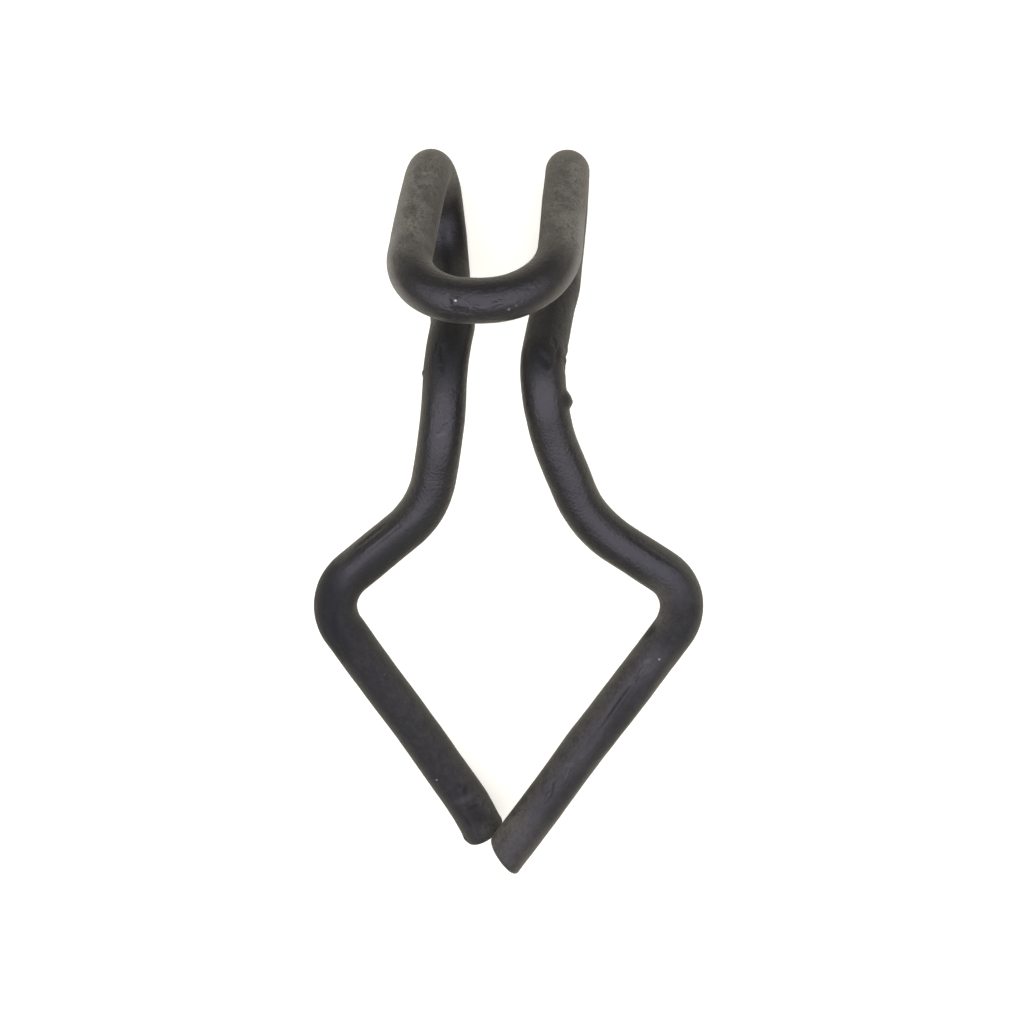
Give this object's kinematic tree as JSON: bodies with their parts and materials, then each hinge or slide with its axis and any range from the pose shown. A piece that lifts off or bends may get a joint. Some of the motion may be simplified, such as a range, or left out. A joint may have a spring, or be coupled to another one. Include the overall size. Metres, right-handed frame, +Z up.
{
  "type": "door trim panel clip",
  "caption": "Black coated spring wire clip: a diamond of sprung legs for the door hole, under a folded hairpin head for the trim board.",
  "frame": {"origin": "on the table, under the centre of the lying clip's bounding box", "axes": "+X to the clip's right, +Y from the leg tips to the head, +Z up from the table"},
  "size_m": [0.0124, 0.0236, 0.0085],
  "materials": {
    "black_coat": "satin black coat, thick and a little wavy, dusty on top and scuffed"
  },
  "bodies": {
    "root": {"spring_wire_clip": "black_coat"}
  },
  "joints": []
}
